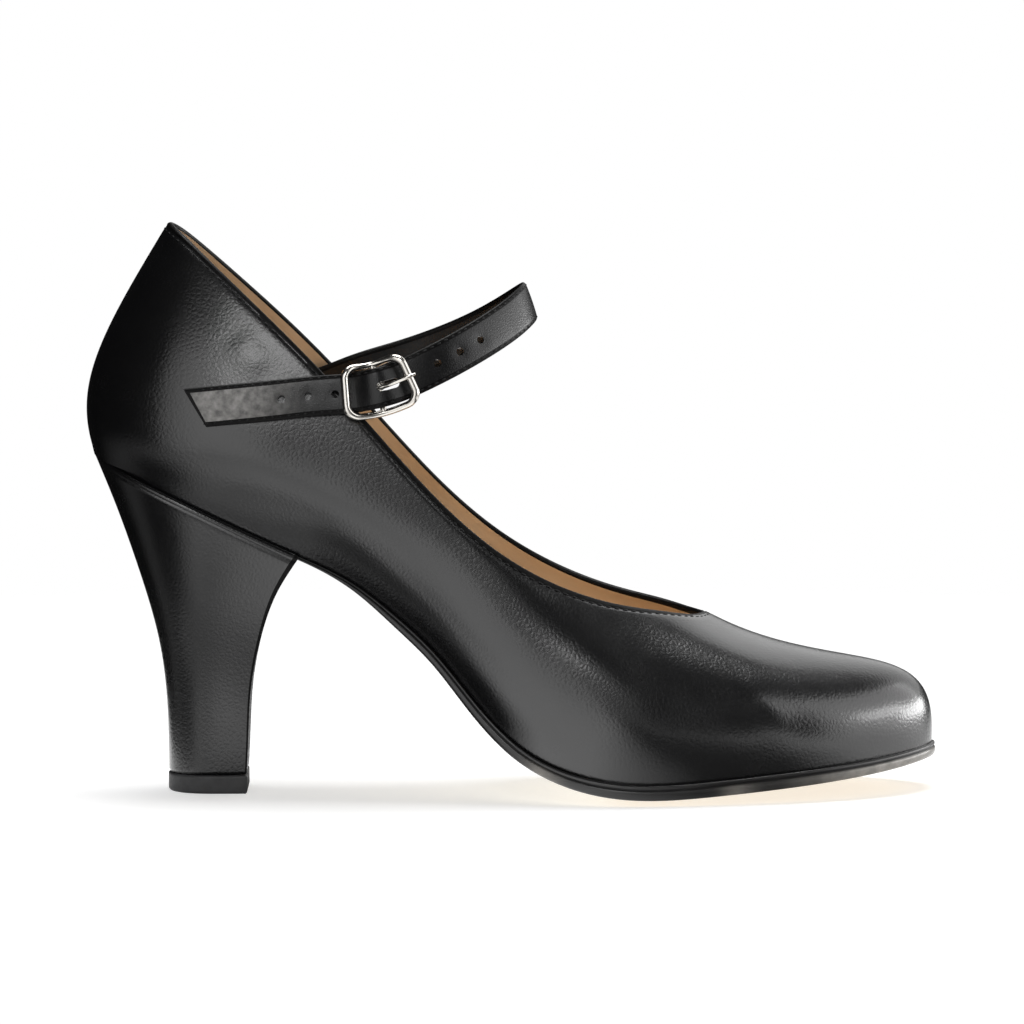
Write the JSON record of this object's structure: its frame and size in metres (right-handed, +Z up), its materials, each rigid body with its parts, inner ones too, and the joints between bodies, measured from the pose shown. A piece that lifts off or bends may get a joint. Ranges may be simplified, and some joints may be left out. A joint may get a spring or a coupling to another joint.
{
  "type": "ballroom dance shoe",
  "caption": "Black leather ballroom dance shoe with a closed almond toe, a buckled instep strap, a curved covered heel and a thin leather sole, open at the collar for the foot.",
  "frame": {"origin": "on the floor, under the middle of the shoe's bounding box", "axes": "+X to the toe, +Y to the inner (medial) side of the foot, +Z up; the outer (lateral) side with the buckle is -Y"},
  "size_m": [0.2176, 0.0728, 0.1466],
  "materials": {
    "black_leather": "smooth, semi-gloss",
    "heel_cover": "smooth, semi-gloss, stretched over the block",
    "strap_leather": "smooth, semi-gloss, dark cut edges",
    "sole_leather": "raw cream leather with a black painted edge",
    "sock_leather": "matt beige",
    "black_rubber": "matt",
    "nickel": "polished nickel plate"
  },
  "bodies": {
    "root": {"upper": "black_leather", "outsole": "sole_leather", "insole": "sock_leather", "heel": "heel_cover", "top_piece": "black_rubber", "strap": "strap_leather", "buckle_tab": "strap_leather", "buckle_frame": "nickel", "buckle_prong": "nickel"}
  },
  "joints": []
}
